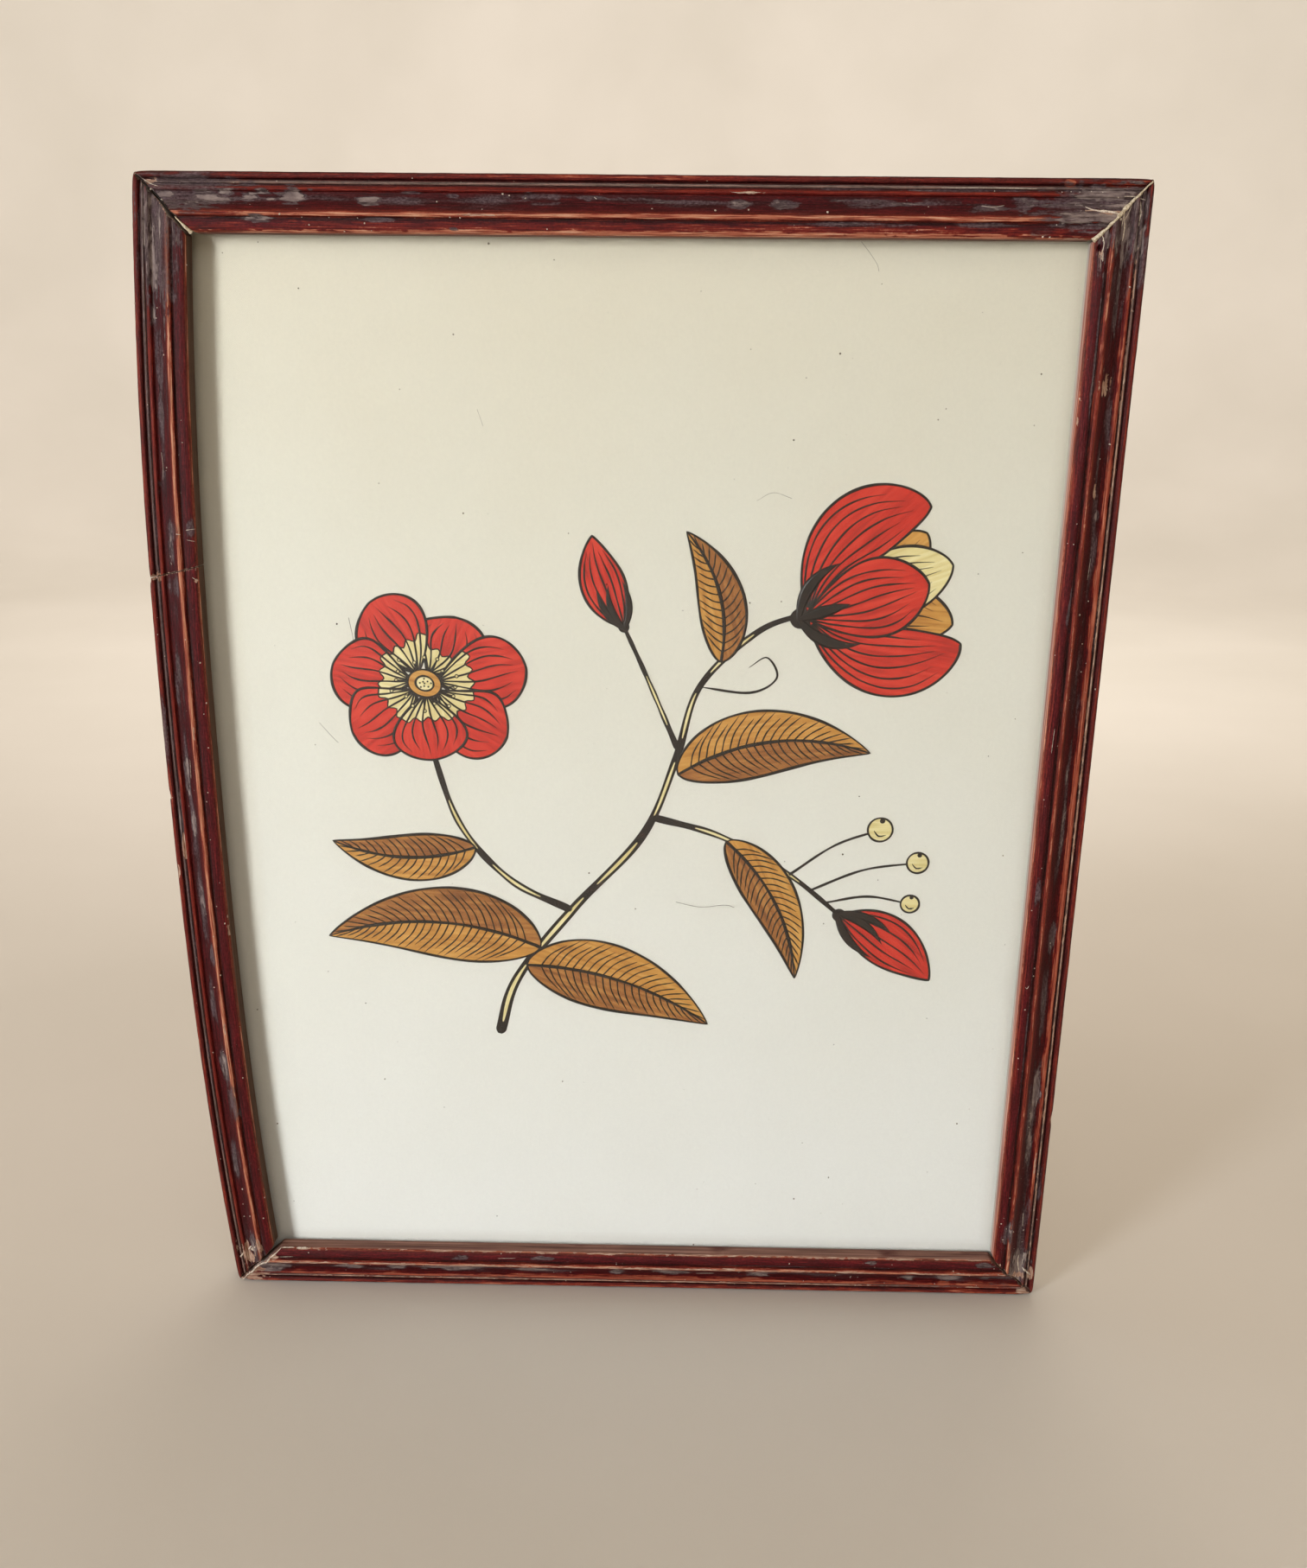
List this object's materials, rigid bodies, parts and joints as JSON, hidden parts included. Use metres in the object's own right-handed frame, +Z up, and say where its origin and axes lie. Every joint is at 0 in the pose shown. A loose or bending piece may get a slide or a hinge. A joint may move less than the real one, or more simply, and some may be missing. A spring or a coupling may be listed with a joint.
{
  "type": "framed reverse-glass picture",
  "caption": "Upright picture painted on the back of glass, in an old narrow lacquered wood moulding with mitred corners, backing planks and a sawtooth hanger.",
  "frame": {"origin": "the middle notch of the sawtooth hanger on the back of the top rail, where the wall's nail sits", "axes": "+Z up the picture, +X to the right seen from the front, +Y out of the back into the wall"},
  "size_m": [0.3662, 0.0185, 0.459],
  "materials": {
    "rail_lacquer": "old oxblood lacquer worn to bare wood on the ridges",
    "pane_glass": "clear drawn window glass",
    "picture_ground": "matt pale celadon ground",
    "picture_paint": "brushed enamel paint seen through the glass",
    "backing_wood": "rough sawn, aged",
    "hardware_steel": "dull, slightly rusted"
  },
  "bodies": {
    "root": {"rail_top": "rail_lacquer", "rail_bottom": "rail_lacquer", "rail_right": "rail_lacquer", "rail_left_upper": "rail_lacquer", "rail_left_lower": "rail_lacquer", "glass_pane": "pane_glass", "painted_ground": "picture_ground", "backing_plank_left": "backing_wood", "backing_plank_right": "backing_wood", "hanger_plate": "hardware_steel", "hanger_nail_left": "hardware_steel", "hanger_nail_right": "hardware_steel", "pin_top_a": "hardware_steel", "pin_top_b": "hardware_steel", "pin_bottom_a": "hardware_steel", "pin_bottom_b": "hardware_steel", "pin_right_a": "hardware_steel", "pin_right_b": "hardware_steel", "pin_right_c": "hardware_steel", "pin_left_a": "hardware_steel", "pin_left_b": "hardware_steel", "pin_left_c": "hardware_steel"}
  },
  "joints": []
}
